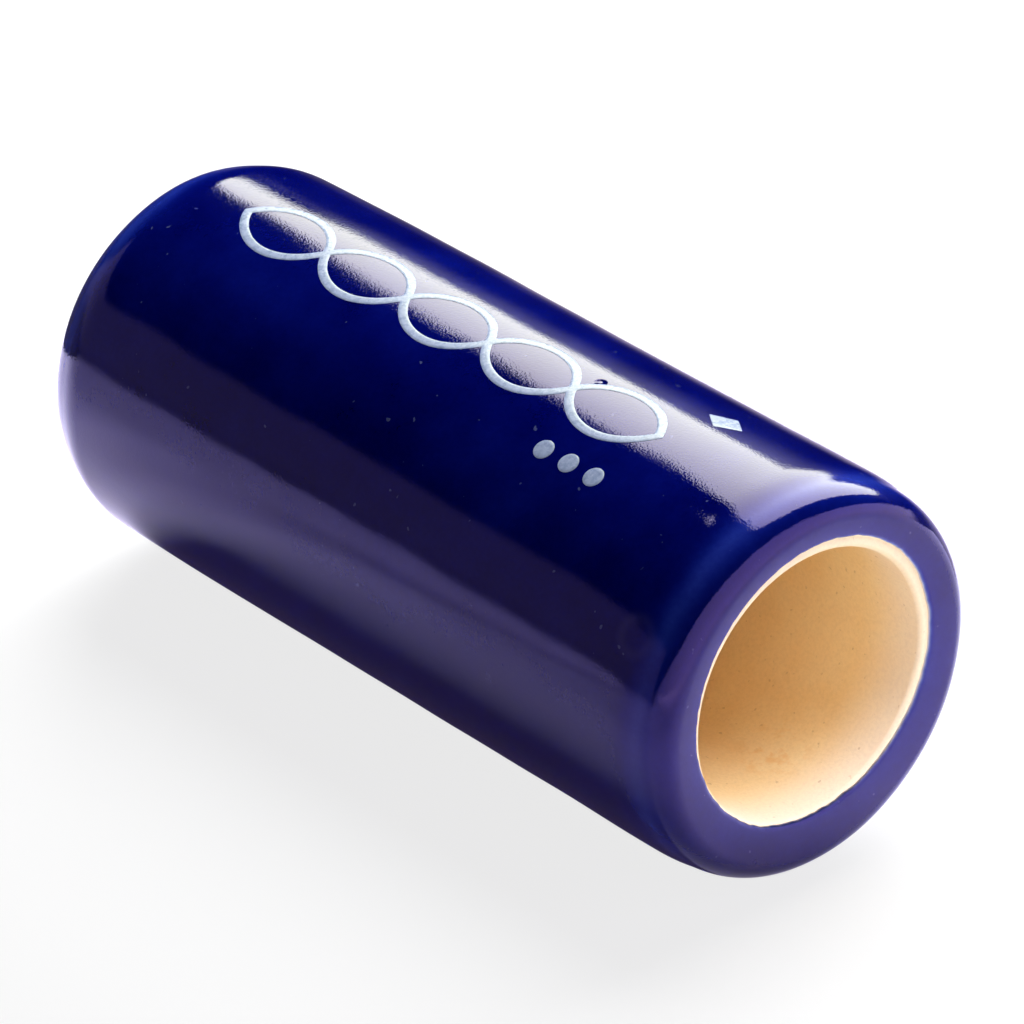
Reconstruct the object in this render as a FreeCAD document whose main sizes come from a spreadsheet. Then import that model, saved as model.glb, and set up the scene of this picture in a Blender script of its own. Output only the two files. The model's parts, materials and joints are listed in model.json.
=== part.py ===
"""A glazed ceramic guitar slide: a fired clay tube, its glaze and the overglaze prints on top.

Frame: the slide lies on its side. +X runs along it and out of the playing mouth, +Z is up,
and the origin is on the axis of the outer wall, halfway along the slide. Millimetres, degrees.
"""

import FreeCAD, Part
import os
from math import cos, isclose, radians, sin, sqrt

import Sketcher

# ---------------------------------------------------------------- driving dimensions

DIMENSIONS = [
    ("overall_length", 69.0, "glazed length, end to end"),
    ("outer_radius", 15.0, "glazed outer wall"),
    ("bore_radius", 10.3, "bare clay wall of the finger bore"),
    ("bore_rise", 0.45, "finger bore's axis above the outer wall's axis, as the hand casting left it"),
    ("glaze_thickness", 0.4, "glaze on the outer wall and on both ends"),
    ("mouth_corner", 2.5, "outer rounding at the mouth, over the glaze"),
    ("tip_shoulder", 9.0, "first and widest of the three radii that round the tip, over the glaze"),
    ("tip_shoulder_sweep", 16.0, "angle that the shoulder turns through"),
    ("tip_nose", 4.0, "second radius at the tip"),
    ("tip_nose_sweep", 34.0, "angle that the nose turns through"),
    ("tip_crown", 1.6, "last radius at the tip, onto its flat end"),
    ("clay_lip", 1.4, "rounding of the clay where the bore opens"),
    ("glaze_mouth_radius", 10.9, "the glaze is wiped back to this radius around the bore"),
    ("glaze_lip", 0.9, "rounding of the glaze into the bore"),
    ("print_thickness", 0.05, "fired overglaze colour, standing on the glaze"),
    ("loop_count", 5, "string wave: loops"),
    ("loop_pitch", 9.0, "string wave: node to node"),
    ("loop_height", 2.6, "string wave: middle of the stroke above the nodes"),
    ("loop_stroke", 0.7, "string wave: width of the line"),
    ("wave_centre", -2.5, "string wave: its middle, along the slide"),
    ("wave_turn", -8.0, "string wave: turned from the top towards +Y"),
    ("dot_count", 3, "dot row: dots"),
    ("dot_radius", 0.8, "dot row: one dot"),
    ("dot_pitch", 2.6, "dot row: dot to dot"),
    ("dot_centre", 16.5, "dot row: its middle, along the slide"),
    ("dot_turn", -29.0, "dot row: turned from the top towards +Y"),
    ("diamond_half_length", 1.7, "diamond: along the slide"),
    ("diamond_half_width", 1.2, "diamond: across the slide"),
    ("diamond_centre", 21.5, "diamond: its middle, along the slide"),
    ("diamond_turn", 10.7, "diamond: turned from the top towards +Y"),
]

SIZE = {alias: value for alias, value, meaning in DIMENSIONS}

START, END, CENTRE = 1, 2, 3
LENGTHWISE, UPRIGHT = -1, -2  # a sketch's own two axes
ORIGIN = (-1, START)
BORED_SHARE = 0.9  # a bored body keeps less than this share of its solid volume
AXIS_ANGLE = 0.001  # degrees: fixes the axis of a rotation whose angle is then bound to the sheet


def make_sheet(doc):
    """The spreadsheet that every feature below is bound to."""
    sheet = doc.addObject("Spreadsheet::Sheet", "sizes")
    for row, (alias, value, meaning) in enumerate(DIMENSIONS, start=1):
        sheet.set(f"A{row}", meaning)
        sheet.set(f"B{row}", str(value))
        sheet.setAlias(f"B{row}", alias)
    doc.recompute()


# ---------------------------------------------------------------- sketching helpers


def new_sketch(body, name, role):
    """An empty sketch on the body's own origin plane with this role, such as XZ_Plane."""
    plane = next(feature for feature in body.Origin.OriginFeatures if feature.Role == role)
    sketch = body.newObject("Sketcher::SketchObject", name)
    sketch.AttachmentSupport = [(plane, "")]
    sketch.MapMode = "FlatFace"
    return sketch


def constrain(sketch, *constraints):
    """Adds geometric constraints, each given as the words that Sketcher expects."""
    for constraint in constraints:
        sketch.addConstraint(Sketcher.Constraint(*constraint))


def drive(sketch, name, expression, *constraint):
    """Adds a dimension under a name and binds it to the sheet."""
    index = sketch.addConstraint(Sketcher.Constraint(*constraint))
    sketch.renameConstraint(index, name)
    sketch.setExpression(f"Constraints.{name}", expression)


def circle(centre, radius):
    """A circle in sketch coordinates."""
    return Part.Circle(FreeCAD.Vector(*centre, 0), FreeCAD.Vector(0, 0, 1), radius)


def arc(centre, radius, start_degrees, end_degrees):
    """A counter-clockwise arc in sketch coordinates."""
    return Part.ArcOfCircle(circle(centre, radius), radians(start_degrees), radians(end_degrees))


def line(start, end):
    """A straight stretch of outline in sketch coordinates."""
    return Part.LineSegment(FreeCAD.Vector(*start, 0), FreeCAD.Vector(*end, 0))


# ---------------------------------------------------------------- the tube and its glaze


def tip_arcs(half_length, radius, inset):
    """The shoulder, nose and crown arcs, which hand on to each other with no kink."""
    radii = [SIZE[alias] - inset for alias in ("tip_shoulder", "tip_nose", "tip_crown")]
    first_turn = SIZE["tip_shoulder_sweep"]
    turns = [0, first_turn, first_turn + SIZE["tip_nose_sweep"], 90]
    x, y = 0, radius - radii[0]
    centres = [(x, y)]
    for before, after, turn in zip(radii, radii[1:], turns[1:]):
        x -= (before - after) * sin(radians(turn))
        y += (before - after) * cos(radians(turn))
        centres.append((x, y))
    shift = radii[-1] - half_length - x
    return [
        arc((x + shift, y), arc_radius, 90 + start, 90 + end)
        for (x, y), arc_radius, start, end in zip(centres, radii, turns, turns[1:])
    ]


def half_profile(body, name, inset_alias=None):
    """Half the outside of the slide, from its axis outwards, set in by the glaze if asked."""
    inset = SIZE[inset_alias] if inset_alias else 0
    less_inset = f" - sizes.{inset_alias}" if inset_alias else ""
    half_length = SIZE["overall_length"] / 2 - inset
    radius = SIZE["outer_radius"] - inset
    corner = SIZE["mouth_corner"] - inset
    shoulder, nose, crown = tip_arcs(half_length, radius, inset)

    outline = [
        line((-half_length, 0), (half_length, 0)),
        line((half_length, 0), (half_length, radius - corner)),
        arc((half_length - corner, radius - corner), corner, 0, 90),
        line((half_length - corner, radius), (shoulder.StartPoint.x, radius)),
        shoulder,
        nose,
        crown,
        line((-half_length, crown.EndPoint.y), (-half_length, 0)),
    ]
    axis, mouth_face, mouth_arc, wall, shoulder, nose, crown, tip_face = range(len(outline))

    sketch = new_sketch(body, name, "XZ_Plane")
    sketch.addGeometry(outline, False)
    constrain(
        sketch,
        ("Coincident", axis, END, mouth_face, START),
        ("Coincident", tip_face, END, axis, START),
        ("PointOnObject", axis, START, LENGTHWISE),
        ("PointOnObject", axis, END, LENGTHWISE),
        ("Vertical", mouth_face),
        ("Vertical", tip_face),
        ("Horizontal", wall),
    )
    for piece in range(mouth_face, tip_face):
        constrain(sketch, ("Tangent", piece, END, piece + 1, START))

    half_text = f"sizes.overall_length / 2{less_inset}"
    drive(sketch, "tip_reach", half_text, "DistanceX", axis, START, *ORIGIN, half_length)
    drive(sketch, "mouth_reach", half_text, "DistanceX", *ORIGIN, axis, END, half_length)
    drive(sketch, "wall_radius", f"sizes.outer_radius{less_inset}", "DistanceY", *ORIGIN, wall, START, radius)
    rounded = [
        (mouth_arc, "mouth_corner", corner),
        (shoulder, "tip_shoulder", SIZE["tip_shoulder"] - inset),
        (nose, "tip_nose", SIZE["tip_nose"] - inset),
        (crown, "tip_crown", SIZE["tip_crown"] - inset),
    ]
    for piece, alias, value in rounded:
        drive(sketch, alias, f"sizes.{alias}{less_inset}", "Radius", piece, value)
    for piece, alias in [(shoulder, "tip_shoulder_sweep"), (nose, "tip_nose_sweep")]:
        drive(sketch, alias, f"sizes.{alias} * 1 deg", "Angle", piece, radians(SIZE[alias]))
    return sketch


def turned_blank(doc, name, inset_alias=None):
    """A solid slide with no bore, turned about the axis of its outer wall."""
    body = doc.addObject("PartDesign::Body", name)
    profile = half_profile(body, f"{name}_profile", inset_alias)
    turned = body.newObject("PartDesign::Revolution", f"{name}_turned")
    turned.Profile = profile
    turned.ReferenceAxis = (profile, ["H_Axis"])
    turned.Angle = 360
    doc.recompute()
    return body


def bored(doc, body, radius_alias, lip_alias):
    """Runs the finger bore through the body and rounds both of its rims."""
    solid_volume = body.Shape.Volume
    sketch = new_sketch(body, f"{body.Name}_bore_circle", "YZ_Plane")
    sketch.addGeometry(circle((0, SIZE["bore_rise"]), SIZE[radius_alias]), False)
    constrain(sketch, ("PointOnObject", 0, CENTRE, UPRIGHT))
    drive(sketch, "rise", "sizes.bore_rise", "DistanceY", *ORIGIN, 0, CENTRE, SIZE["bore_rise"])
    drive(sketch, "bore", f"sizes.{radius_alias}", "Radius", 0, SIZE[radius_alias])

    bore = body.newObject("PartDesign::Pocket", f"{body.Name}_bore")
    bore.Profile = sketch
    bore.Type = "ThroughAll"
    bore.SideType = "Symmetric"
    doc.recompute()
    if bore.Shape.Volume > BORED_SHARE * solid_volume:
        raise ValueError(f"{body.Name}: the bore did not cut")

    rims = [
        f"Edge{number}"
        for number, edge in enumerate(bore.Shape.Edges, start=1)
        if isinstance(edge.Curve, Part.Circle)
        and isclose(edge.Curve.Radius, SIZE[radius_alias], abs_tol=1e-6)
    ]
    lips = body.newObject("PartDesign::Fillet", f"{body.Name}_lips")
    lips.Base = (bore, rims)
    lips.setExpression("Radius", f"sizes.{lip_alias}")
    doc.recompute()
    return body


def make_bisque_tube(doc):
    """The fired clay tube, set in by the glaze that covers it, with the bare bore through it."""
    tube = bored(doc, turned_blank(doc, "clay", "glaze_thickness"), "bore_radius", "clay_lip")
    tube.Label = "bisque_tube"
    return tube


def make_glaze_coat(doc, tube):
    """The glaze: the slide's whole outside less the clay, ending in a thin edge inside each rim."""
    blank = bored(doc, turned_blank(doc, "glaze"), "glaze_mouth_radius", "glaze_lip")
    coat = doc.addObject("Part::Cut", "coat")
    coat.Base = blank
    coat.Tool = tube
    coat.Label = "glaze_coat"
    return coat


# ---------------------------------------------------------------- the overglaze prints


def make_print_skin(doc):
    """A thin sleeve standing on the glazed wall, which the stencils cut the prints from."""
    sleeves = []
    for name, radius in [
        ("skin_outside", "sizes.outer_radius + sizes.print_thickness"),
        ("skin_inside", "sizes.outer_radius"),
    ]:
        cylinder = doc.addObject("Part::Cylinder", name)
        cylinder.setExpression("Radius", radius)
        cylinder.setExpression("Height", "sizes.overall_length")
        cylinder.Placement.Rotation = FreeCAD.Rotation(FreeCAD.Vector(0, 1, 0), 90)
        cylinder.setExpression(".Placement.Base.x", "-sizes.overall_length / 2")
        sleeves.append(cylinder)
    skin = doc.addObject("Part::Cut", "print_skin")
    skin.Base, skin.Tool = sleeves
    return skin


def stencil_body(doc, name, centre, turn_alias):
    """A body whose own +Z points out through the wall where the print's middle lies."""
    body = doc.addObject("PartDesign::Body", name)
    about_slide = FreeCAD.Rotation(FreeCAD.Vector(1, 0, 0), AXIS_ANGLE)
    body.Placement = FreeCAD.Placement(FreeCAD.Vector(), about_slide)
    body.setExpression(".Placement.Base.x", centre)
    body.setExpression(".Placement.Rotation.Angle", f"-sizes.{turn_alias} * 1 deg")
    return body


def raise_stencil(doc, body, sketch):
    """Raises the sketch from the slide's axis to past the skin."""
    prism = body.newObject("PartDesign::Pad", f"{body.Name}_prism")
    prism.Profile = sketch
    prism.setExpression("Length", "sizes.outer_radius + 2 * sizes.print_thickness")
    doc.recompute()
    return prism


def repeat_lengthwise(doc, body, prism, sketch, count_alias, pitch_alias):
    """Repeats the prism along the slide."""
    row = body.newObject("PartDesign::LinearPattern", f"{body.Name}_row")
    row.Originals = [prism]
    row.Direction = (sketch, ["H_Axis"])
    row.setExpression("Occurrences", f"sizes.{count_alias}")
    row.setExpression("Length", f"sizes.{pitch_alias} * (sizes.{count_alias} - 1)")
    body.Tip = row
    doc.recompute()


def print_from(doc, skin, body, label):
    """The part of the skin that the stencil covers."""
    film = doc.addObject("Part::Common", f"{body.Name}_film")
    film.Base = skin
    film.Tool = body
    film.Label = label
    return film


def make_wave_print(doc, skin):
    """A vibrating string: a chain of equal loops, each drawn by an arc and its mirror image."""
    first_loop = "sizes.wave_centre - sizes.loop_pitch * (sizes.loop_count - 1) / 2"
    body = stencil_body(doc, "wave", first_loop, "wave_turn")
    half_pitch = SIZE["loop_pitch"] / 2
    height = SIZE["loop_height"]
    middle_radius = (half_pitch**2 + height**2) / (2 * height)
    drop = middle_radius - height

    sketch = new_sketch(body, "wave_loop", "XY_Plane")
    for side, (name, sign) in enumerate([("outer", 1), ("inner", -1)]):
        radius = middle_radius + sign * SIZE["loop_stroke"] / 2
        reach = sqrt(radius**2 - drop**2)
        upper, lower = 2 * side, 2 * side + 1
        upper_arc = circle((0, -drop), radius)
        lower_arc = circle((0, drop), radius)
        right, left = FreeCAD.Vector(reach, 0, 0), FreeCAD.Vector(-reach, 0, 0)
        sketch.addGeometry(
            [
                Part.ArcOfCircle(upper_arc, upper_arc.parameter(right), upper_arc.parameter(left)),
                Part.ArcOfCircle(lower_arc, lower_arc.parameter(left), lower_arc.parameter(right)),
            ],
            False,
        )
        constrain(
            sketch,
            ("Coincident", upper, END, lower, START),
            ("Coincident", lower, END, upper, START),
            ("PointOnObject", upper, START, LENGTHWISE),
            ("PointOnObject", upper, END, LENGTHWISE),
            ("PointOnObject", upper, CENTRE, UPRIGHT),
            ("Equal", upper, lower),
        )
        middle_text = "(sizes.loop_pitch ^ 2 / 4 + sizes.loop_height ^ 2) / (2 * sizes.loop_height)"
        sign_text = "+" if sign > 0 else "-"
        radius_text = f"{middle_text} {sign_text} sizes.loop_stroke / 2"
        drive(sketch, f"{name}_radius", radius_text, "Radius", upper, radius)
        drive(
            sketch,
            f"{name}_drop",
            f"{middle_text} - sizes.loop_height",
            *("DistanceY", upper, CENTRE, *ORIGIN, drop),
        )

    prism = raise_stencil(doc, body, sketch)
    repeat_lengthwise(doc, body, prism, sketch, "loop_count", "loop_pitch")
    return print_from(doc, skin, body, "wave_print")


def make_dot_print(doc, skin):
    """A short row of round dots."""
    first_dot = "sizes.dot_centre - sizes.dot_pitch * (sizes.dot_count - 1) / 2"
    body = stencil_body(doc, "dots", first_dot, "dot_turn")
    sketch = new_sketch(body, "dot_outline", "XY_Plane")
    sketch.addGeometry(circle((0, 0), SIZE["dot_radius"]), False)
    constrain(sketch, ("Coincident", 0, CENTRE, *ORIGIN))
    drive(sketch, "dot", "sizes.dot_radius", "Radius", 0, SIZE["dot_radius"])
    prism = raise_stencil(doc, body, sketch)
    repeat_lengthwise(doc, body, prism, sketch, "dot_count", "dot_pitch")
    return print_from(doc, skin, body, "dot_print")


def make_diamond_print(doc, skin):
    """A single small diamond."""
    body = stencil_body(doc, "diamond", "sizes.diamond_centre", "diamond_turn")
    half_length = SIZE["diamond_half_length"]
    half_width = SIZE["diamond_half_width"]
    corners = [(half_length, 0), (0, half_width), (-half_length, 0), (0, -half_width)]

    sketch = new_sketch(body, "diamond_outline", "XY_Plane")
    for side, corner in enumerate(corners):
        sketch.addGeometry(line(corner, corners[(side + 1) % len(corners)]), False)
    for side in range(len(corners)):
        constrain(sketch, ("Coincident", side, END, (side + 1) % len(corners), START))
        constrain(sketch, ("PointOnObject", side, START, (LENGTHWISE, UPRIGHT)[side % 2]))
    constrain(sketch, ("Equal", 0, 1), ("Equal", 1, 2))
    drive(sketch, "reach", "sizes.diamond_half_length", "DistanceX", *ORIGIN, 0, START, half_length)
    drive(sketch, "spread", "sizes.diamond_half_width", "DistanceY", *ORIGIN, 1, START, half_width)
    raise_stencil(doc, body, sketch)
    return print_from(doc, skin, body, "diamond_print")


# ---------------------------------------------------------------- assembly and export


def check(doc, pieces):
    """Stops on any feature that failed, and on any piece that is empty or not sound."""
    failed = [item.Name for item in doc.Objects if {"Invalid", "Error"} & set(item.State)]
    if failed:
        raise ValueError(f"failed features: {', '.join(failed)}")
    for piece in pieces:
        if piece.Shape.isNull() or not piece.Shape.isValid() or not piece.Shape.Solids:
            raise ValueError(f"{piece.Label} is not a sound solid")


def export(pieces):
    """Writes each piece to its own STEP file, named after its label."""
    os.makedirs("parts", exist_ok=True)
    for piece in pieces:
        piece.Shape.exportStep(f"parts/{piece.Label}.step")


def build():
    """Builds every piece of the slide in one document."""
    doc = FreeCAD.newDocument("guitar_slide")
    make_sheet(doc)
    tube = make_bisque_tube(doc)
    coat = make_glaze_coat(doc, tube)
    skin = make_print_skin(doc)
    prints = [make(doc, skin) for make in (make_wave_print, make_dot_print, make_diamond_print)]
    doc.recompute()
    pieces = [tube, coat, *prints]
    check(doc, pieces)
    export(pieces)
    return pieces


for piece in build():
    box = piece.Shape.BoundBox
    print(
        f"{piece.Label}: {len(piece.Shape.Solids)} solid(s), {piece.Shape.Volume:.2f} mm3,"
        f" x {box.XMin:.2f} to {box.XMax:.2f}, y {box.YMin:.2f} to {box.YMax:.2f},"
        f" z {box.ZMin:.2f} to {box.ZMax:.2f}"
    )
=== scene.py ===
"""The looks of a glazed ceramic guitar slide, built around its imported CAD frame.

Metres, in the CAD's own frame: +X runs along the slide and out of its playing mouth, +Z is up.
Angles round the slide start at the top and grow towards +Y.
"""

import json
from math import cos, pi, radians, sin, sqrt

import bpy
import numpy as np
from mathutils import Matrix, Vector


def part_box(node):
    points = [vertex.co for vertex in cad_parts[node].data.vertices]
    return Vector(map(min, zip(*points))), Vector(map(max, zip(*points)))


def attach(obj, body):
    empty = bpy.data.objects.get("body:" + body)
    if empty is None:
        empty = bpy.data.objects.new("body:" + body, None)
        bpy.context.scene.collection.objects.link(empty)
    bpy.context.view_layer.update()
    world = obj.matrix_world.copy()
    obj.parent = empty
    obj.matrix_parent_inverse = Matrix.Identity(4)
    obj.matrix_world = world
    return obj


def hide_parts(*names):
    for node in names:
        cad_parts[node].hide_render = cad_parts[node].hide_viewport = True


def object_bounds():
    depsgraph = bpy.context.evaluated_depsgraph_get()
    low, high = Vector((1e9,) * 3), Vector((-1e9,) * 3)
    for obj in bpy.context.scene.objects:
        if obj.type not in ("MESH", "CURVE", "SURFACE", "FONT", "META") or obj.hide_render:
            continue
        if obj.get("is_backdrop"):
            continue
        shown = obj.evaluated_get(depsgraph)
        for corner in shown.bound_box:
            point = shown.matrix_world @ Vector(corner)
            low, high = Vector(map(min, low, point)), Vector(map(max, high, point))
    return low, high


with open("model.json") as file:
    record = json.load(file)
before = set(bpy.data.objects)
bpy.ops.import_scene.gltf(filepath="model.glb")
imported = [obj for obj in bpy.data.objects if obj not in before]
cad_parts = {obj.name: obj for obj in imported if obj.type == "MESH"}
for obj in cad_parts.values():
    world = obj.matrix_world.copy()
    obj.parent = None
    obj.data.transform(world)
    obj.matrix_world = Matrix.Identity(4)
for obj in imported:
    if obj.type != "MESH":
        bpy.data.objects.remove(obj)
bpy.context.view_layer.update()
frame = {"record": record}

# ---------------------------------------------------------------- sizes, from the frame

MM = 0.001
GLAZE_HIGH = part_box("glaze_coat")[1]
CLAY_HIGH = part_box("bisque_tube")[1]
BORE = next(mount for mount in frame["record"]["mounts"] if mount["name"] == "finger_bore")

HALF_CLAY = CLAY_HIGH.x
GLAZE = GLAZE_HIGH.x - CLAY_HIGH.x
OUTER_RADIUS = GLAZE_HIGH.y
CLAY_RADIUS = OUTER_RADIUS - GLAZE
BORE_RADIUS = BORE["dims"]["r_mm"] * MM
BORE_RISE = BORE["pos_m"][2]

# ---------------------------------------------------------------- sizes of the finish

LIP = 0.4 * MM  # rounding of the clay from the bore onto the end
BORE_DRIFT = -0.4 * MM  # how far to one side the bore ran at the mouth
MOUTH_ARCS = [(1.0 * MM, 40), (2.8 * MM, 47), (50.0 * MM, 3)]  # clay under the rim: radius, degrees turned
TIP_ARCS = [(1.2 * MM, 40), (3.6 * MM, 34), (8.6 * MM, 16)]

FLARE_HEIGHT = 0.085 * MM  # the wall swells a little behind the mouth
FLARE_PLACE = 27 * MM
FLARE_WIDTH = 5.2 * MM
TAPER_DEPTH = 0.15 * MM  # and draws in a little towards the tip
TAPER_START = -16 * MM
TAPER_LENGTH = 16 * MM

WIPED = 0.78 * MM  # bare clay from the bore out to the edge of the glaze, on average
WIPED_MORE = 0.46 * MM  # how much more of it is bare on the widest side
WIDEST_WIPED = radians(20)
WIPED_FADE = 3.5 * MM  # the mesh follows the uneven edge this far out
SUNK = 0.01 * MM  # how deep the glaze has fused into the clay
BEAD = 0.30 * MM  # width of the rounded edge of the glaze
BUILD = 1.6 * MM  # distance over which the glaze builds up behind its edge
BEAD_SHARE = 0.62  # share of the full thickness that the rounded edge already has
DRAINED = 0.38  # share of the glaze that has drained off the rim's shoulder
DRAINED_WIDTH = 1.3 * MM
EDGE_SEEN = 0.09 * MM  # the colour sets in over this width
PEEL_START = 1.5 * MM  # the glaze is smooth this close to its edge

PRINT_THICKNESS = 0.05 * MM
PRINT_EDGE_SHARE = 0.35  # thickness of a print at its outline
PRINT_CROWN = 0.16 * MM  # width over which a print rises to its full thickness
PRINT_CELL = 0.09 * MM  # size of the grid that a print is cut from
CORNER_GAP = 0.04  # share of a cell's side that a print's outline keeps from the cell's corners
PRINT_SHARP = radians(50)  # a print's edges sharper than this aren't shaded smooth

CASTING_FADE = 3 * MM  # the bore's unevenness from casting fades out this close to its ends

AROUND = 384  # points round the slide, in each ring of a mesh
BORE_RINGS = 90
LIP_RINGS = 18
LAND_RINGS = 5
CORNER_RINGS = 12
WALL_RINGS = 5
GLAZE_RIM_RINGS = 48
GLAZE_WALL_RINGS = {1: 46, -1: 44}  # on the mouth's half of the wall and on the tip's
UNDER_RIM_RINGS = 16  # the glaze's underside
UNDER_WALL_RINGS = 5
CROWDING = 1.8  # how much closer together the rings lie towards the edge of the glaze


# ---------------------------------------------------------------- outline of the clay


def walk(stretches, start, distance):
    """Follows stretches of (length, turn in radians) and gives x, radius and heading at a distance."""
    distance = np.asarray(distance, float)
    x, radius = np.full(distance.shape, start[0]), np.full(distance.shape, start[1])
    heading = np.zeros(distance.shape)
    travelled = 0.0
    for length, turn in stretches:
        part = np.clip(distance - travelled, 0, length)
        if turn:
            bend = turn / length
            x = x + (np.sin(heading + bend * part) - np.sin(heading)) / bend
            radius = radius + (np.cos(heading) - np.cos(heading + bend * part)) / bend
            heading = heading + bend * part
        else:
            x = x + part * np.cos(heading)
            radius = radius + part * np.sin(heading)
        travelled += length
    return x, radius, heading


def end_stretches(arcs):
    """The clay's outline round one end: lip, flat land, corner arcs and half of the wall."""
    lip = [(LIP * pi / 2, pi / 2)]
    corner = [(radius * radians(turn), radians(turn)) for radius, turn in arcs]
    curved = lip + corner
    curved_length = sum(length for length, turn in curved)
    x, radius, heading = walk(curved, (-LIP, BORE_RADIUS), curved_length)
    land = CLAY_RADIUS - float(radius)
    wall = HALF_CLAY + float(x)
    return lip + [(land, 0)] + corner + [(wall, 0)]


ENDS = {1: end_stretches(MOUTH_ARCS), -1: end_stretches(TIP_ARCS)}


def lengths(end):
    """Where the lip, the land, the corner and the wall of this end stop, along its outline."""
    stretches = [length for length, turn in ENDS[end]]
    return stretches[0], stretches[0] + stretches[1], sum(stretches[:-1]), sum(stretches)


def wall_form(x):
    """The wall's gentle departure from a cylinder: a flare behind the mouth, a taper to the tip."""
    flare = FLARE_HEIGHT * np.exp(-(((x - FLARE_PLACE) / FLARE_WIDTH) ** 2))
    taper = TAPER_DEPTH * np.clip((TAPER_START - x) / TAPER_LENGTH, 0, 1) ** 2
    return flare - taper


def ripples(seed, count, longest, shortest, height):
    """A smooth random surface over (x, angle), as a sum of waves that close round the slide."""
    random = np.random.default_rng(seed)
    waves = []
    for _ in range(count):
        wavelength = longest * (shortest / longest) ** random.random()
        direction = random.uniform(0, pi)
        along = 2 * pi * sin(direction) / wavelength
        around = round(2 * pi * OUTER_RADIUS / wavelength * cos(direction))
        phase = random.uniform(0, 2 * pi)
        waves.append((along, around, phase, wavelength / longest))

    def surface(x, angle):
        total = 0
        for along, around, phase, weight in waves:
            total = total + weight * np.cos(along * x + around * angle + phase)
        return height * total / sqrt(count)

    return surface


CASTING = ripples(seed=16, count=24, longest=24 * MM, shortest=3 * MM, height=0.016 * MM)
THROWING = ripples(seed=11, count=14, longest=45 * MM, shortest=14 * MM, height=0.022 * MM)
ORANGE_PEEL = ripples(seed=12, count=60, longest=6 * MM, shortest=2.2 * MM, height=0.0007 * MM)
EDGE_WANDER = ripples(seed=13, count=24, longest=26 * MM, shortest=3 * MM, height=0.07 * MM)
EDGE_NICKS = ripples(seed=15, count=30, longest=3 * MM, shortest=0.7 * MM, height=0.05 * MM)
THICKNESS_DRIFT = ripples(seed=14, count=20, longest=30 * MM, shortest=7 * MM, height=0.10)


def clay_surface(end, distance, angle):
    """Points of the clay round one end, and their outward normals."""
    x, radius, heading = walk(ENDS[end], (-LIP, BORE_RADIUS), distance)
    lip_stop, land_stop = lengths(end)[:2]
    on_wall = np.clip((distance - lip_stop) / (land_stop - lip_stop), 0, 1)
    on_wall = on_wall * on_wall * (3 - 2 * on_wall)
    x = end * (HALF_CLAY + x)
    radius = radius + on_wall * (wall_form(x) + THROWING(x, angle))
    normal_x, normal_radius = end * np.sin(heading), -np.cos(heading)
    points = np.stack(
        [
            x,
            radius * np.sin(angle) + (1 - on_wall) * BORE_DRIFT * x / HALF_CLAY,
            radius * np.cos(angle) + (1 - on_wall) * BORE_RISE,
        ],
        axis=-1,
    )
    normals = np.stack([normal_x, normal_radius * np.sin(angle), normal_radius * np.cos(angle)], axis=-1)
    return points, normals


# ---------------------------------------------------------------- outline of the glaze


def glaze_start(end, angle):
    """Where the wiped edge of the glaze lies along the clay's outline: farther out near the top."""
    x = end * HALF_CLAY
    uneven = EDGE_WANDER(x, angle) + EDGE_NICKS(x, angle)
    return WIPED + WIPED_MORE * np.cos(angle - WIDEST_WIPED) + uneven


def glaze_depth(end, distance, angle, from_edge, x):
    """Thickness of the glaze: nothing at its edge, thinner over the rim's shoulder, then full."""
    land_stop, corner_stop = lengths(end)[1:3]
    bead = np.clip(from_edge / BEAD, 0, 1)
    bead = np.sqrt(1 - (1 - bead) ** 2)
    build = 1 - np.exp(-np.maximum(from_edge, 0) / BUILD)
    shoulder = (land_stop + corner_stop) / 2
    drained = DRAINED * np.exp(-(((distance - shoulder) / DRAINED_WIDTH) ** 2))
    rising = BEAD_SHARE * bead + (1 - BEAD_SHARE) * build
    return GLAZE * rising * (1 - drained) * (1 + THICKNESS_DRIFT(x, angle) * bead)


def glaze_half(end, steps, angle):
    """One end's half of the glaze, from its edge to the middle: outside, depth seen and underside."""
    start = glaze_start(end, angle)
    total = lengths(end)[-1]
    from_edge = steps[:, None] * (total - WIPED)
    ease = np.clip(1 - from_edge / WIPED_FADE, 0, 1) ** 2
    distance = WIPED + from_edge + (start - WIPED)[None, :] * ease
    angles = np.broadcast_to(angle, distance.shape)
    points, normals = clay_surface(end, distance, angles)
    from_start = distance - start[None, :]
    depth = glaze_depth(end, distance, angles, from_start, points[..., 0])
    peel = ORANGE_PEEL(points[..., 0], angles) * np.clip(from_edge / PEEL_START, 0, 1)
    seen_depth = depth * (1 - np.exp(-np.maximum(from_start, 0) / EDGE_SEEN))
    return points + normals * (depth + peel)[..., None], seen_depth, points - normals * SUNK


def glazed_radius(x, angle):
    """Radius of the glazed wall, for what is printed on it."""
    full = GLAZE * (1 + THICKNESS_DRIFT(x, angle))
    return CLAY_RADIUS + wall_form(x) + THROWING(x, angle) + full + ORANGE_PEEL(x, angle)


# ---------------------------------------------------------------- meshes


def new_piece(name, points, faces, material_slot, *nodes):
    """A shown piece of the object that stands for the CAD nodes given."""
    mesh = bpy.data.meshes.new(name)
    mesh.from_pydata([tuple(point) for point in points], [], faces)
    mesh.validate()
    mesh.shade_smooth()
    piece = bpy.data.objects.new(name, mesh)
    bpy.context.scene.collection.objects.link(piece)
    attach(piece, "root")
    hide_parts(*nodes)
    return piece


def ring_faces(rings, around):
    """Quads over rings that close both round the slide and back onto the first ring."""
    faces = []
    for ring in range(rings):
        here, there = ring * around, (ring + 1) % rings * around
        for step in range(around):
            following = (step + 1) % around
            faces.append((here + step, here + following, there + following, there + step))
    return faces


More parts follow.
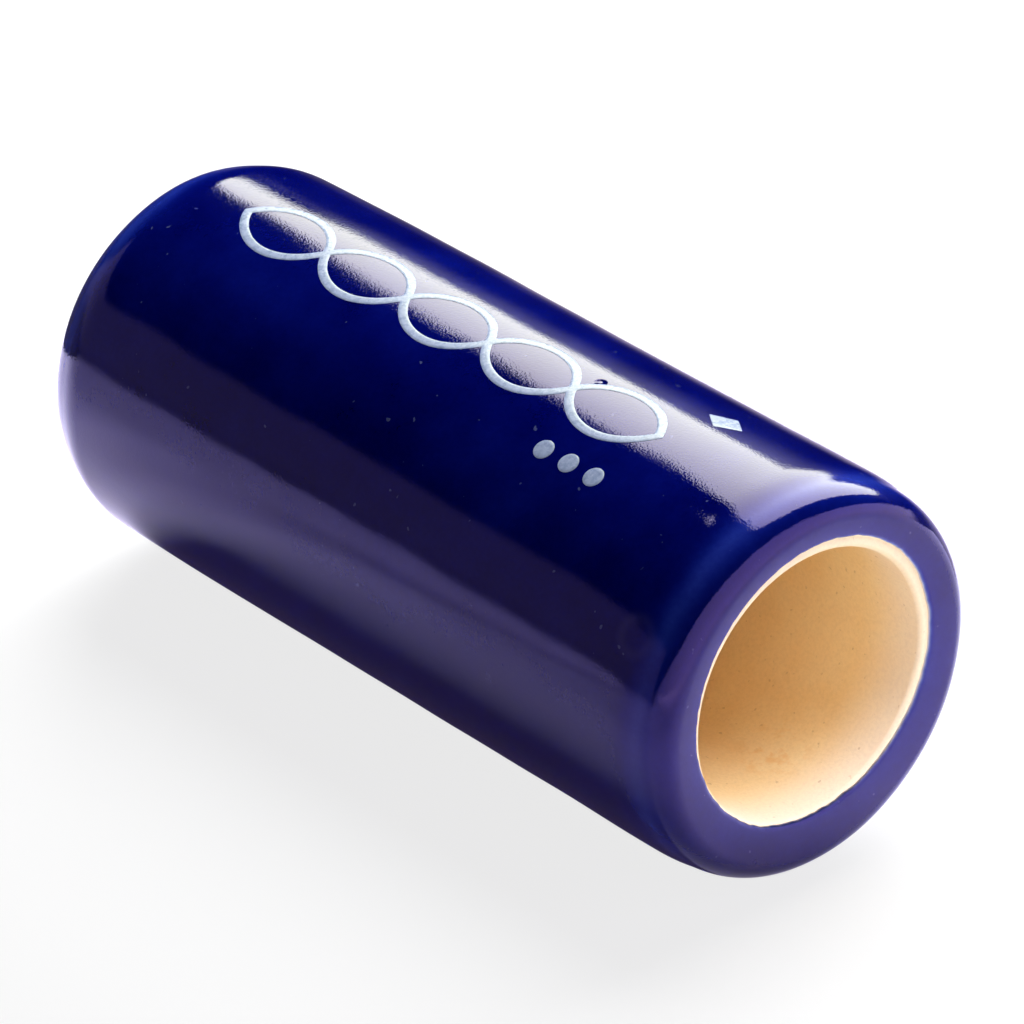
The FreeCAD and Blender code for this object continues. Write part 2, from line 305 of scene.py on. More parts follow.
def store(piece, name, values):
    """Keeps one number per point for the material to read."""
    attribute = piece.data.attributes.new(name, "FLOAT", "POINT")
    attribute.data.foreach_set("value", np.asarray(values, np.float32).ravel())


def turns():
    """The angles of the points round the slide."""
    return np.linspace(0, 2 * pi, AROUND, endpoint=False)


def glaze_steps(end, rim_rings, wall_rings):
    """Shares of the glazed outline: close together over the rim, wider along the wall."""
    corner_stop, total = lengths(end)[-2:]
    rim = (corner_stop - WIPED) / (total - WIPED)
    near = rim * np.linspace(0, 1, rim_rings, endpoint=False) ** CROWDING
    return np.concatenate([near, np.linspace(rim, 1, wall_rings)])


def make_glaze():
    """The glaze shell: its outside from rim to rim, and its underside fused to the clay."""
    angle = turns()
    outside, seen_depth, under = {}, {}, {}
    for end in ENDS:
        steps = glaze_steps(end, GLAZE_RIM_RINGS, GLAZE_WALL_RINGS[end])
        outside[end], seen_depth[end], _ = glaze_half(end, steps, angle)
        _, _, under[end] = glaze_half(end, glaze_steps(end, UNDER_RIM_RINGS, UNDER_WALL_RINGS), angle)
        outside[end][0] = under[end][0]
    rings = np.concatenate([outside[1], outside[-1][-2::-1], under[-1][1:], under[1][-2:0:-1]])
    depth_outside = np.concatenate([seen_depth[1], seen_depth[-1][-2::-1]])
    depth_under = np.full((len(rings) - len(depth_outside), AROUND), GLAZE)
    depth = np.concatenate([depth_outside, depth_under])
    piece = new_piece(
        "glaze_shell", rings.reshape(-1, 3), ring_faces(len(rings), AROUND), "cobalt_glaze", "glaze_coat"
    )
    store(piece, "glaze_depth", depth / MM)
    return piece


def make_clay():
    """The fired clay tube: bore, both lips, and the outside that the glaze covers."""
    angle = turns()
    halves = {}
    for end in ENDS:
        lip_stop, land_stop, corner_stop, total = lengths(end)
        distance = np.concatenate(
            [
                np.linspace(0, lip_stop, LIP_RINGS, endpoint=False),
                np.linspace(lip_stop, land_stop, LAND_RINGS, endpoint=False),
                np.linspace(land_stop, corner_stop, CORNER_RINGS, endpoint=False),
                np.linspace(corner_stop, total, WALL_RINGS),
            ]
        )
        grid = np.broadcast_to(distance[:, None], (len(distance), AROUND))
        halves[end] = clay_surface(end, grid, np.broadcast_to(angle, grid.shape))[0]
    bore_stop = HALF_CLAY - LIP
    bore_steps = np.linspace(-bore_stop, bore_stop, BORE_RINGS)[1:-1]
    bore_x, bore_angle = np.meshgrid(bore_steps, angle, indexing="ij")
    within = np.clip((bore_stop - np.abs(bore_x)) / CASTING_FADE, 0, 1)
    radius = BORE_RADIUS + CASTING(bore_x, bore_angle) * within
    bore = np.stack(
        [
            bore_x,
            radius * np.sin(bore_angle) + BORE_DRIFT * bore_x / HALF_CLAY,
            radius * np.cos(bore_angle) + BORE_RISE,
        ],
        axis=-1,
    )
    rings = np.concatenate([bore, halves[1], halves[-1][-2::-1]])
    return new_piece(
        "clay_body", rings.reshape(-1, 3), ring_faces(len(rings), AROUND), "bisque", "bisque_tube"
    )


def filled(distance, along, across):
    """Polygons over the grid cells where distance is below zero, cut along its zero line."""
    values = distance(*np.meshgrid(along, across, indexing="ij"))
    points, numbers, faces = [], {}, []

    def corner(cell):
        if cell not in numbers:
            numbers[cell] = len(points)
            points.append((along[cell[0]], across[cell[1]]))
        return numbers[cell]

    def crossing(first, second):
        key = (min(first, second), max(first, second))
        if key not in numbers:
            (i, j), (k, m) = key
            share = np.clip(values[i, j] / (values[i, j] - values[k, m]), CORNER_GAP, 1 - CORNER_GAP)
            numbers[key] = len(points)
            cut_along = along[i] + share * (along[k] - along[i])
            cut_across = across[j] + share * (across[m] - across[j])
            points.append((cut_along, cut_across))
        return numbers[key]

    for i in range(len(along) - 1):
        for j in range(len(across) - 1):
            cells = [(i, j), (i + 1, j), (i + 1, j + 1), (i, j + 1)]
            inside = [values[cell] < 0 for cell in cells]
            face = []
            for k in range(4):
                if inside[k]:
                    face.append(corner(cells[k]))
                if inside[k] != inside[(k + 1) % 4]:
                    face.append(crossing(cells[k], cells[(k + 1) % 4]))
            if len(face) > 2:
                faces.append(face)
    return np.array(points), faces


def make_print(name, node, distance, half_length, half_width, turn):
    """A film of fired colour with a crowned top, wrapped onto the glazed wall round a CAD print's place."""
    low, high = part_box(node)
    along = np.arange(-half_length, half_length + PRINT_CELL, PRINT_CELL)
    across = np.arange(-half_width, half_width + PRINT_CELL, PRINT_CELL)
    flat, faces = filled(distance, along, across)
    inset = np.clip(-distance(flat[:, 0], flat[:, 1]) / PRINT_CROWN, 0, 1)
    x = flat[:, 0] + (low.x + high.x) / 2
    angle = radians(turn) + flat[:, 1] / OUTER_RADIUS
    ground = glazed_radius(x, angle)
    crown = PRINT_EDGE_SHARE + (1 - PRINT_EDGE_SHARE) * np.sin(inset * pi / 2)
    top = ground + PRINT_THICKNESS * crown
    points = []
    for radius in (top, ground - SUNK):
        points.append(np.stack([x, radius * np.sin(angle), radius * np.cos(angle)], axis=-1))
    count = len(flat)
    edges = [edge for face in faces for edge in zip(face, face[1:] + face[:1])]
    known = set(edges)
    rim = [(first, second) for first, second in edges if (second, first) not in known]
    sides = [(second, first, first + count, second + count) for first, second in rim]
    under = [[number + count for number in reversed(face)] for face in faces]
    piece = new_piece(name, np.concatenate(points), faces + under + sides, "overglaze_print", node)
    piece.data.set_sharp_from_angle(angle=PRINT_SHARP)
    return piece


# ---------------------------------------------------------------- materials


def new_material(name):
    """An empty node material with its Principled surface."""
    material = bpy.data.materials.new(name)
    material.use_nodes = True
    nodes, links = material.node_tree.nodes, material.node_tree.links
    return material, nodes, links, nodes["Principled BSDF"]


def socket(node_tree, target, value):
    """Feeds an input with either another node's output or a plain value."""
    if isinstance(value, bpy.types.NodeSocket):
        node_tree.links.new(value, target)
    else:
        target.default_value = value


def maths(material, operation, *values):
    """A Math node fed with sockets or numbers."""
    node = material.node_tree.nodes.new("ShaderNodeMath")
    node.operation = operation
    for target, value in zip(node.inputs, values):
        socket(material.node_tree, target, value)
    return node.outputs[0]


def fade(material, value, start, stop, low=0.0, high=1.0, smooth=False):
    """A number that goes from low to high while the value goes from start to stop."""
    node = material.node_tree.nodes.new("ShaderNodeMapRange")
    if smooth:
        node.interpolation_type = "SMOOTHSTEP"
    for name, number in (("From Min", start), ("From Max", stop), ("To Min", low), ("To Max", high)):
        node.inputs[name].default_value = number
    socket(material.node_tree, node.inputs["Value"], value)
    return node.outputs["Result"]


def own_place(material):
    """Where the shaded point is, in the object's own coordinates."""
    return material.node_tree.nodes.new("ShaderNodeTexCoord").outputs["Object"]


def axes(material, vector):
    """The x, y and z of a vector."""
    node = material.node_tree.nodes.new("ShaderNodeSeparateXYZ")
    material.node_tree.links.new(vector, node.inputs[0])
    return node.outputs["X"], node.outputs["Y"], node.outputs["Z"]


def noise(material, scale, detail=2.0, roughness=0.5):
    """A Noise texture on the object's own coordinates."""
    node = material.node_tree.nodes.new("ShaderNodeTexNoise")
    node.inputs["Scale"].default_value = scale
    node.inputs["Detail"].default_value = detail
    node.inputs["Roughness"].default_value = roughness
    material.node_tree.links.new(own_place(material), node.inputs["Vector"])
    return node.outputs["Fac"]


def grey(level):
    """A colour with the same red, green and blue."""
    return (level, level, level)


def ramp(material, factor, stops):
    """A colour ramp with (position, colour) stops."""
    node = material.node_tree.nodes.new("ShaderNodeValToRGB")
    elements = node.color_ramp.elements
    while len(elements) < len(stops):
        elements.new(1.0)
    for element, (position, colour) in zip(elements, stops):
        element.position = position
        element.color = (*colour, 1.0)
    socket(material.node_tree, node.inputs["Fac"], factor)
    return node.outputs["Color"]


def mix(material, factor, first, second, blend="MIX"):
    """A colour mix of two sockets or colours."""
    node = material.node_tree.nodes.new("ShaderNodeMix")
    node.data_type = "RGBA"
    node.blend_type = blend
    socket(material.node_tree, node.inputs["Factor"], factor)
    for target, value in ((node.inputs["A"], first), (node.inputs["B"], second)):
        if not isinstance(value, bpy.types.NodeSocket):
            value = (*value, 1.0)
        socket(material.node_tree, target, value)
    return node.outputs["Result"]


def bump(material, height, distance, strength=1.0, before=None):
    """A Bump node, chained onto an earlier one if there is one."""
    node = material.node_tree.nodes.new("ShaderNodeBump")
    node.inputs["Strength"].default_value = strength
    node.inputs["Distance"].default_value = distance
    socket(material.node_tree, node.inputs["Height"], height)
    if before is not None:
        material.node_tree.links.new(before, node.inputs["Normal"])
    return node.outputs["Normal"]


def spot(material, x, turn, inner, outer, radius=OUTER_RADIUS):
    """1 inside a round spot this far from the axis, falling smoothly to 0 at its outer radius."""
    away = material.node_tree.nodes.new("ShaderNodeVectorMath")
    away.operation = "DISTANCE"
    material.node_tree.links.new(own_place(material), away.inputs[0])
    angle = radians(turn)
    away.inputs[1].default_value = (x, radius * sin(angle), radius * cos(angle))
    return fade(material, away.outputs["Value"], inner, outer, 1.0, 0.0, smooth=True)


GLAZE_PASSES = (2.0e-9, 8.0e-8, 1.7e-3)  # share of red, green and blue light that 1 mm of glaze returns
CLAY_UNDER_GLAZE = (0.92, 0.90, 0.88)
GLAZE_SPECK = (0.35, 0.42, 0.62)
SMUDGE_COLOUR = (0.45, 0.40, 0.60)
GLAZE_MIRRORS = (0.48, 0.37, 1.0)  # tint of what the glaze mirrors


def glaze_colour(material):
    """What the clay returns through the glaze's depth, which pools and mottles a little."""
    nodes, links = material.node_tree.nodes, material.node_tree.links
    stored = nodes.new("ShaderNodeAttribute")
    stored.attribute_name = "glaze_depth"
    pooling = maths(material, "MULTIPLY_ADD", noise(material, 300, 3.0), 0.30, 0.85)
    mottling = maths(material, "MULTIPLY_ADD", noise(material, 2600, 2.0), 0.16, 0.92)
    unevenness = maths(material, "MULTIPLY", pooling, mottling)
    depth = maths(material, "MULTIPLY", stored.outputs["Fac"], unevenness)
    channels = nodes.new("ShaderNodeCombineColor")
    for target, share, clay_share in zip(channels.inputs, GLAZE_PASSES, CLAY_UNDER_GLAZE):
        passed = maths(material, "POWER", share, depth)
        links.new(maths(material, "MULTIPLY", passed, clay_share), target)
    return channels.outputs["Color"]


def smudges(material):
    """A faint ring and a faint dab left on the glaze by handling."""
    ring_outside = spot(material, 30 * MM, -60, 1.2 * MM, 2.0 * MM)
    ring_inside = spot(material, 30 * MM, -60, 0.6 * MM, 1.3 * MM)
    ring = maths(material, "SUBTRACT", ring_outside, ring_inside)
    dab = spot(material, 17 * MM, -94, 0.2 * MM, 1.3 * MM)
    return maths(material, "MULTIPLY", maths(material, "ADD", ring, dab), 0.018)


def glaze_material():
    """Cobalt glass over pale clay, with specks, smudges, a fine ripple and one small crater."""
    material, nodes, links, surface = new_material("cobalt_glaze")
    specks = noise(material, 1500, 1.0, 0.4)
    speck = ramp(material, specks, [(0.0, grey(0)), (0.775, grey(0)), (0.80, grey(1))])
    colour = mix(material, maths(material, "MULTIPLY", speck, 0.10), glaze_colour(material), GLAZE_SPECK)
    links.new(mix(material, smudges(material), colour, SMUDGE_COLOUR), surface.inputs["Base Color"])
    smear = ramp(material, noise(material, 90, 5.0, 0.6), [(0.35, grey(0.035)), (0.75, grey(0.08))])
    links.new(smear, surface.inputs["Roughness"])
    surface.inputs["IOR"].default_value = 1.65
    surface.inputs["Specular Tint"].default_value = (*GLAZE_MIRRORS, 1.0)
    fine = bump(material, noise(material, 6300, 1.0, 0.5), 0.0060 * MM)
    peel = bump(material, noise(material, 1300, 2.0), 0.003 * MM, before=fine)
    crater = spot(material, 11.8 * MM, -0.8, 0.12 * MM, 0.55 * MM)
    dented = bump(material, maths(material, "SUBTRACT", 1.0, crater), 0.16 * MM, before=peel)
    links.new(dented, surface.inputs["Normal"])
    return material


CLAY_COLOURS = [(0.3, (0.95, 0.67, 0.29)), (0.7, (0.96, 0.73, 0.35))]
CLAY_GRAIN = [(0.3, (0.55, 0.42, 0.27)), (0.6, (1.0, 0.9, 0.72))]
PAINTED_LIGHT_CLAY = (0.96, 0.86, 0.70)  # painted light: paler near the ends, where more light reaches the lips and the bore's mouths
PAINTED_LIGHT_REACH = 6 * MM
STAIN_COLOUR = (0.86, 0.44, 0.12)
PIT_COLOUR = (0.52, 0.32, 0.15)


def clay_colour(material, grain):
    """Warm cream clay, coloured paler near the ends as painted light, with a few brown stains on the floor
    of the bore.
    """
    body = ramp(material, noise(material, 220, 6.0, 0.6), CLAY_COLOURS)
    from_middle = maths(material, "ABSOLUTE", axes(material, own_place(material))[0])
    # painted light: the clay is coloured paler towards both ends, where more light falls into the bore
    painted_light_share = fade(material, from_middle, HALF_CLAY - PAINTED_LIGHT_REACH, HALF_CLAY, 0.0, 0.55, smooth=True)
    body = mix(material, painted_light_share, body, PAINTED_LIGHT_CLAY)
    body = mix(material, 0.18, body, ramp(material, grain, CLAY_GRAIN), "MULTIPLY")
    stains = ramp(material, noise(material, 800, 4.0, 0.6), [(0.53, grey(0)), (0.66, grey(1))])
    stained = spot(material, 27 * MM, 163, 0.8 * MM, 4.2 * MM, BORE_RADIUS)
    stain = maths(material, "MULTIPLY", maths(material, "MULTIPLY", stains, stained), 0.45)
    return mix(material, stain, body, STAIN_COLOUR)


def clay_material():
    """Bare fired clay: matt, finely grained, with scattered small pits."""
    material, nodes, links, surface = new_material("bisque")
    grain = noise(material, 3800, 4.0, 0.7)
    pits = noise(material, 2300, 1.0, 0.35)
    pit = ramp(material, pits, [(0.0, grey(0)), (0.73, grey(0)), (0.78, grey(1))])
    pitted = maths(material, "MULTIPLY", pit, 0.4)
    links.new(mix(material, pitted, clay_colour(material, grain), PIT_COLOUR), surface.inputs["Base Color"])
    surface.inputs["Roughness"].default_value = 0.85
    surface.inputs["Specular IOR Level"].default_value = 0.25
    rough = bump(material, grain, 0.03 * MM, 0.6)
    sunken = maths(material, "SUBTRACT", 1.0, pit)
    links.new(bump(material, sunken, 0.03 * MM, 0.8, before=rough), surface.inputs["Normal"])
    return material


PRINT_COLOURS = [(0.30, (0.17, 0.22, 0.33)), (0.50, (0.23, 0.285, 0.41)), (0.72, (0.28, 0.33, 0.46))]


def print_material():
    """Pale overglaze enamel: a thin, slightly uneven screened film."""
    material, nodes, links, surface = new_material("overglaze_print")
    cover = ramp(material, noise(material, 2400, 4.0, 0.65), PRINT_COLOURS)
    links.new(cover, surface.inputs["Base Color"])
    gloss = ramp(material, noise(material, 1800, 3.0), [(0.3, grey(0.22)), (0.7, grey(0.36))])
    links.new(gloss, surface.inputs["Roughness"])
    links.new(bump(material, noise(material, 5200, 3.0, 0.6), 0.006 * MM), surface.inputs["Normal"])
    return material


# ---------------------------------------------------------------- the pieces

glaze = make_glaze()
clay = make_clay()

WAVE_TURN = -8.0  # degrees round from the top
DOT_TURN = -29.0
DIAMOND_TURN = 10.7
LOOPS = 5
LOOP_PITCH = 9.0 * MM
LOOP_HEIGHT = 2.6 * MM  # of each arc above the middle of the chain
LOOP_STROKE = 0.7 * MM
LOOP_RADIUS = ((LOOP_PITCH / 2) ** 2 + LOOP_HEIGHT**2) / (2 * LOOP_HEIGHT)
DOT_PITCH = 2.6 * MM
DOT_RADIUS = 0.8 * MM
DIAMOND_HALF_LENGTH = 1.7 * MM
DIAMOND_HALF_WIDTH = 1.2 * MM
PRINT_ROOM = 0.2 * MM  # the grid goes on this far past the dots and the diamond


def wave_distance(along, across):
    """Distance to the line of a chain of loops, each an arc and its mirror image."""
    drop = LOOP_RADIUS - LOOP_HEIGHT
    nearest = np.full(np.shape(along), 1.0)
    for loop in range(LOOPS):
        from_middle = along - (loop - (LOOPS - 1) / 2) * LOOP_PITCH
        ring = np.abs(np.hypot(from_middle, np.abs(across) + drop) - LOOP_RADIUS)
        nearest = np.minimum(nearest, ring)
    return nearest - LOOP_STROKE / 2


def dot_distance(along, across):
    """Distance to a row of three dots."""
    from_centres = [np.hypot(along - place * DOT_PITCH, across) for place in (-1, 0, 1)]
    return np.minimum.reduce(from_centres) - DOT_RADIUS


def diamond_distance(along, across):
    """Distance to a diamond."""
    side = np.hypot(DIAMOND_HALF_LENGTH, DIAMOND_HALF_WIDTH)
    out = np.abs(along) * DIAMOND_HALF_WIDTH + np.abs(across) * DIAMOND_HALF_LENGTH
    return (out - DIAMOND_HALF_LENGTH * DIAMOND_HALF_WIDTH) / side


wave = make_print(
    name="wave_film",
    node="wave_print",
    distance=wave_distance,
    half_length=LOOPS * LOOP_PITCH / 2 + LOOP_STROKE,
    half_width=LOOP_HEIGHT + LOOP_STROKE,
    turn=WAVE_TURN,
)
dots = make_print(
    name="dot_film",
    node="dot_print",
    distance=dot_distance,
    half_length=DOT_PITCH + DOT_RADIUS + PRINT_ROOM,
    half_width=DOT_RADIUS + PRINT_ROOM,
    turn=DOT_TURN,
)
diamond = make_print(
    name="diamond_film",
    node="diamond_print",
    distance=diamond_distance,
    half_length=DIAMOND_HALF_LENGTH + PRINT_ROOM,
    half_width=DIAMOND_HALF_WIDTH + PRINT_ROOM,
    turn=DIAMOND_TURN,
)

glaze.data.materials.append(glaze_material())
clay.data.materials.append(clay_material())
print_finish = print_material()
for film in (wave, dots, diamond):
    film.data.materials.append(print_finish)


# ---------------------------------------------------------------- stage, light and camera


def sheet(name, corners, material):
    """A flat stage surface."""
    mesh = bpy.data.meshes.new(name)
    mesh.from_pydata([tuple(corner) for corner in corners], [], [tuple(range(len(corners)))])
    mesh.materials.append(material)
    surface = bpy.data.objects.new(name, mesh)
    bpy.context.scene.collection.objects.link(surface)
    surface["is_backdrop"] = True
    return surface


def light_of(material, colour, strength=1.0):
    """A shader that glows with one colour."""
    node = material.node_tree.nodes.new("ShaderNodeEmission")
    node.inputs["Color"].default_value = (*colour, 1.0)
    socket(material.node_tree, node.inputs["Strength"], strength)
    return node.outputs[0]


def blend_shaders(material, factor, first, second):
    """A shader between two others."""
    node = material.node_tree.nodes.new("ShaderNodeMixShader")
    for target, value in zip(node.inputs, (factor, first, second)):
        socket(material.node_tree, target, value)
    return node.outputs[0]


def both(material, first, second):
    """1 where both factors are 1."""
    return maths(material, "MULTIPLY", first, second)


FLOOR_REACH = 3.0
# painted reflection: colours that the floor takes on only where the glaze mirrors it, darker in a band near
# the tip
PAINTED_REFLECTION_PALE = (1.0, 0.96, 1.23)
PAINTED_REFLECTION_DULL = (0.76, 0.71, 0.94)
PAINTED_REFLECTION_SPAN = 0.2
PAINTED_REFLECTION_TINTS = [  # painted reflection: the floor's colours where the glaze mirrors it, along the slide over that span, with the slide's middle at 0.5
    (0.24, (1.12, 1.07, 1.38)),
    (0.30, PAINTED_REFLECTION_DULL),
    (0.335, PAINTED_REFLECTION_DULL),
    (0.36, PAINTED_REFLECTION_PALE),
    (0.65, PAINTED_REFLECTION_PALE),
    (0.90, (0.86, 0.80, 1.05)),
]
SHORT_OF_MOUTH = 0.030  # the dark parts of the mirrored floor stop here, next to the mouth
UNDER_MOUTH = 0.031  # from here on, the floor mirrored in the rim is paler
AWAY_ASLANT = (-0.757, 0.653)  # the way over the floor that leads straight away from the camera
BEHIND_ASLANT = 0.06  # the mirrored floor darkens this far behind the slide, seen slantwise
BEHIND = 0.055  # and this far straight behind it
IN_FRONT = -0.2  # and this far in front of it
APRON_START = 0.08  # beyond the mouth it brightens from here
APRON_STOP = 0.20  # to here
# painted reflection: faint glows added to the floor where the glaze mirrors its shade under the slide,
# paler where the rim mirrors it
PAINTED_GLOW_ON_WALL = (0.018, 0.010, 0.045)
PAINTED_GLOW_ON_RIM = (0.26, 0.24, 0.30)
# painted reflection: glows that stand in for the floor where the glaze mirrors it behind, in front and
# beyond the mouth
DUSK = (1.0, 0.85, 1.1)
FRONT_GLOW = (0.20, 0.17, 0.22)
APRON_GLOW = (2.0, 1.7, 2.0)


def mirrored_floor(material, floor, x, y):
    """What the glaze mirrors of the floor, as painted reflection: glows that stand in for it, darker behind
    and in front, bright beyond the mouth, with a faint glow added over the shade under the slide.
    """
    links = material.node_tree.links
    short_of_mouth = maths(material, "LESS_THAN", x, SHORT_OF_MOUTH)
    under_mouth = maths(material, "GREATER_THAN", x, UNDER_MOUTH)
    glow_for_wall, glow_for_rim = light_of(material, PAINTED_GLOW_ON_WALL), light_of(material, PAINTED_GLOW_ON_RIM)
    floor_with_glow = material.node_tree.nodes.new("ShaderNodeAddShader")
    links.new(floor, floor_with_glow.inputs[0])
    links.new(blend_shaders(material, under_mouth, glow_for_wall, glow_for_rim), floor_with_glow.inputs[1])

    aslant = maths(material, "MULTIPLY", x, AWAY_ASLANT[0])
    aslant = maths(material, "MULTIPLY_ADD", y, AWAY_ASLANT[1], aslant)
    behind_aslant = maths(material, "GREATER_THAN", aslant, BEHIND_ASLANT)
    straight_behind = both(material, maths(material, "GREATER_THAN", y, BEHIND), short_of_mouth)
    behind = maths(material, "MAXIMUM", behind_aslant, straight_behind)
    along_dusk = fade(material, x, -0.08, 0.0, 0.05, 0.45)
    away_dusk = fade(material, y, 0.06, 0.16, 1.9, 0.15)
    dusk = light_of(material, DUSK, maths(material, "MULTIPLY", along_dusk, away_dusk))

    front = both(material, maths(material, "LESS_THAN", y, IN_FRONT), short_of_mouth)
    apron = fade(material, x, APRON_START, APRON_STOP)
    # painted reflection: the mirrored floor is swapped for glows behind, in front and beyond the mouth
    seen = blend_shaders(material, behind, floor_with_glow.outputs[0], dusk)
    seen = blend_shaders(material, front, seen, light_of(material, FRONT_GLOW))
    return blend_shaders(material, apron, seen, light_of(material, APRON_GLOW))


def floor_material():
    """Pale floor, coloured darker in front of the slide as painted shadow, with painted reflection tints
    and glows where the glaze mirrors it, lifted to white far from the slide for the camera.
    """
    material, nodes, links, surface = new_material("floor")
    surface.inputs["Roughness"].default_value = 0.9
    surface.inputs["Specular IOR Level"].default_value = 0.0
    place = own_place(material)
    x, y, _ = axes(material, place)
    path = nodes.new("ShaderNodeLightPath")
    mirrored = path.outputs["Is Glossy Ray"]

    # painted shadow: the floor is coloured darker in front of the slide, where its shadow falls
    painted_shade_factor = fade(material, y, -0.055, -0.018, 0.40, 0.74)
    # painted reflection: the floor has these tints only in what the glaze mirrors
    along = maths(material, "MULTIPLY_ADD", x, 1 / PAINTED_REFLECTION_SPAN, 0.5)
    mirrored_tint = ramp(material, along, PAINTED_REFLECTION_TINTS)
    tint = mix(material, mirrored, grey(1), mirrored_tint)
    links.new(mix(material, 1.0, painted_shade_factor, tint, "MULTIPLY"), surface.inputs["Base Color"])

    away = nodes.new("ShaderNodeVectorMath")
    away.operation = "LENGTH"
    links.new(place, away.inputs[0])
    lift = fade(material, away.outputs["Value"], 0.10, 0.60, 0.8, 1.0)
    lift = maths(material, "MULTIPLY", path.outputs["Is Camera Ray"], lift)
    lifted = blend_shaders(material, lift, surface.outputs[0], light_of(material, grey(1)))
    lit = blend_shaders(material, mirrored, lifted, mirrored_floor(material, lifted, x, y))
    links.new(lit, nodes["Material Output"].inputs["Surface"])
    return material


def make_floor():
    """The floor that the slide rests on."""
    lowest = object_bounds()[0][2]
    corners = [(x * FLOOR_REACH, y * FLOOR_REACH, lowest) for x, y in ((-1, -1), (1, -1), (1, 1), (-1, 1))]
    return sheet("floor", corners, floor_material())


SOFTBOX_REACH = 0.8  # distance from the slide
SOFTBOX_TURN = radians(43)  # how far it leans back from straight overhead
SOFTBOX_OUTLINE = [  # along and across the light, in shares of its distance
    (-1.17, 0.12), (-1.13, 0.20), (-0.96, 0.34), (-0.87, 0.33), (-0.80, 0.27), (-0.66, 0.42), (-0.50, 0.55),
    (-0.28, 0.62), (-0.05, 0.56), (0.02, 0.36), (0.05, 0.0), (0.03, -0.40), (-0.05, -0.66),
    (-0.20, -0.76), (-0.46, -0.75), (-0.72, -0.56), (-0.88, -0.48), (-0.93, -0.32),
    (-0.98, -0.16), (-1.04, -0.04),
]
FLAP_OUTLINE = [(-0.93, -1.00), (-0.87, -0.97), (-0.87, -0.86), (-0.92, -0.82)]
SPILL_OUTLINE = [(-1.08, 0.40), (-0.93, 0.24), (-0.40, 0.50), (0.10, 0.50), (0.10, 1.0), (-1.08, 1.0)]
SPILL_REACH = 1.05 * SOFTBOX_REACH
SOFTBOX_MIRRORED = (1.0, 1.06, 0.70)  # warmer where the glaze mirrors it
SOFTBOX_NEAR = 0.61  # share of its strength on its near side, high above the slide
SOFTBOX_RISE = 0.62  # how much that grows to its far side, which is lower
SOFTBOX_FULL = 0.91  # but nowhere more than this
SOFTBOX_STRENGTH = 15.5
SOFTBOX_MIRRORED_STRENGTH = 8.5
SPILL_FADING = 4.0  # power by which it fades across
SPILL_STRENGTH = 6.5
SPILL_MIRRORED_STRENGTH = 1.6


def overhead_sheet(name, outline, reach, material):
    """A glowing sheet behind and above the slide, from its outline seen from the slide."""
    out = Vector((0, sin(SOFTBOX_TURN), cos(SOFTBOX_TURN)))
    side = Vector((0, cos(SOFTBOX_TURN), -sin(SOFTBOX_TURN)))
    corners = [reach * (out + Vector((along, 0, 0)) + across * side) for along, across in outline]
    light = sheet(name, corners, material)
    light.visible_camera = False
    return light


def glowing(name):
    """A material that only gives light, with how far across the sheet it is and whether it is mirrored."""
    material = bpy.data.materials.new(name)
    material.use_nodes = True
    nodes, links = material.node_tree.nodes, material.node_tree.links
    nodes.remove(nodes["Principled BSDF"])
    glow = nodes.new("ShaderNodeEmission")
    links.new(glow.outputs[0], nodes["Material Output"].inputs["Surface"])
    across = axes(material, nodes.new("ShaderNodeTexCoord").outputs["Generated"])[1]
    mirrored = nodes.new("ShaderNodeLightPath").outputs["Is Glossy Ray"]
    return material, glow, across, mirrored


def softbox():
    """A large soft light with a flap, a little brighter towards its far side."""
    material, glow, across, mirrored = glowing("softbox")
    material.node_tree.links.new(mix(material, mirrored, grey(1), SOFTBOX_MIRRORED), glow.inputs["Color"])
    rising = maths(material, "MULTIPLY_ADD", across, SOFTBOX_RISE, SOFTBOX_NEAR)
    level = maths(material, "MINIMUM", rising, SOFTBOX_FULL)
    less = SOFTBOX_MIRRORED_STRENGTH - SOFTBOX_STRENGTH
    strength = maths(material, "MULTIPLY_ADD", mirrored, less, SOFTBOX_STRENGTH)
    material.node_tree.links.new(maths(material, "MULTIPLY", level, strength), glow.inputs["Strength"])
    panel = overhead_sheet("softbox", SOFTBOX_OUTLINE, SOFTBOX_REACH, material)
    flap = overhead_sheet("softbox_flap", FLAP_OUTLINE, SOFTBOX_REACH, material)
    return panel, flap


def spill():
    """What the softbox spills onto the wall behind the slide, fading down to the floor."""
    material, glow, across, mirrored = glowing("spill")
    fading = maths(material, "POWER", maths(material, "SUBTRACT", 1.0, across), SPILL_FADING)
    seen = both(material, maths(material, "MULTIPLY", fading, SPILL_MIRRORED_STRENGTH), mirrored)
    unseen = maths(material, "MULTIPLY", maths(material, "SUBTRACT", 1.0, mirrored), SPILL_STRENGTH)
    material.node_tree.links.new(maths(material, "ADD", seen, unseen), glow.inputs["Strength"])
    return overhead_sheet("spill", SPILL_OUTLINE, SPILL_REACH, material)


WALL_HEIGHT = 0.36  # as the z of a direction
WALL_START = -0.14  # as the x of a direction
WALL_LEVEL = 0.24
CARD_LEAN = 0.26  # how much farther out the card's near edge lies higher up
CARD_SKEW = 0.05  # and farther back
CARD_START = 0.34  # as the x of a direction
CARD_SLOPE = 0.9  # it also shows below a line that climbs this steeply beyond the mouth
CARD_LINE = 0.04  # where that line starts, as the z of a direction
CARD_LEVEL = 1.0
CARD_GAIN = (1.2, 0.5)  # how much brighter it gets towards +X and +Y


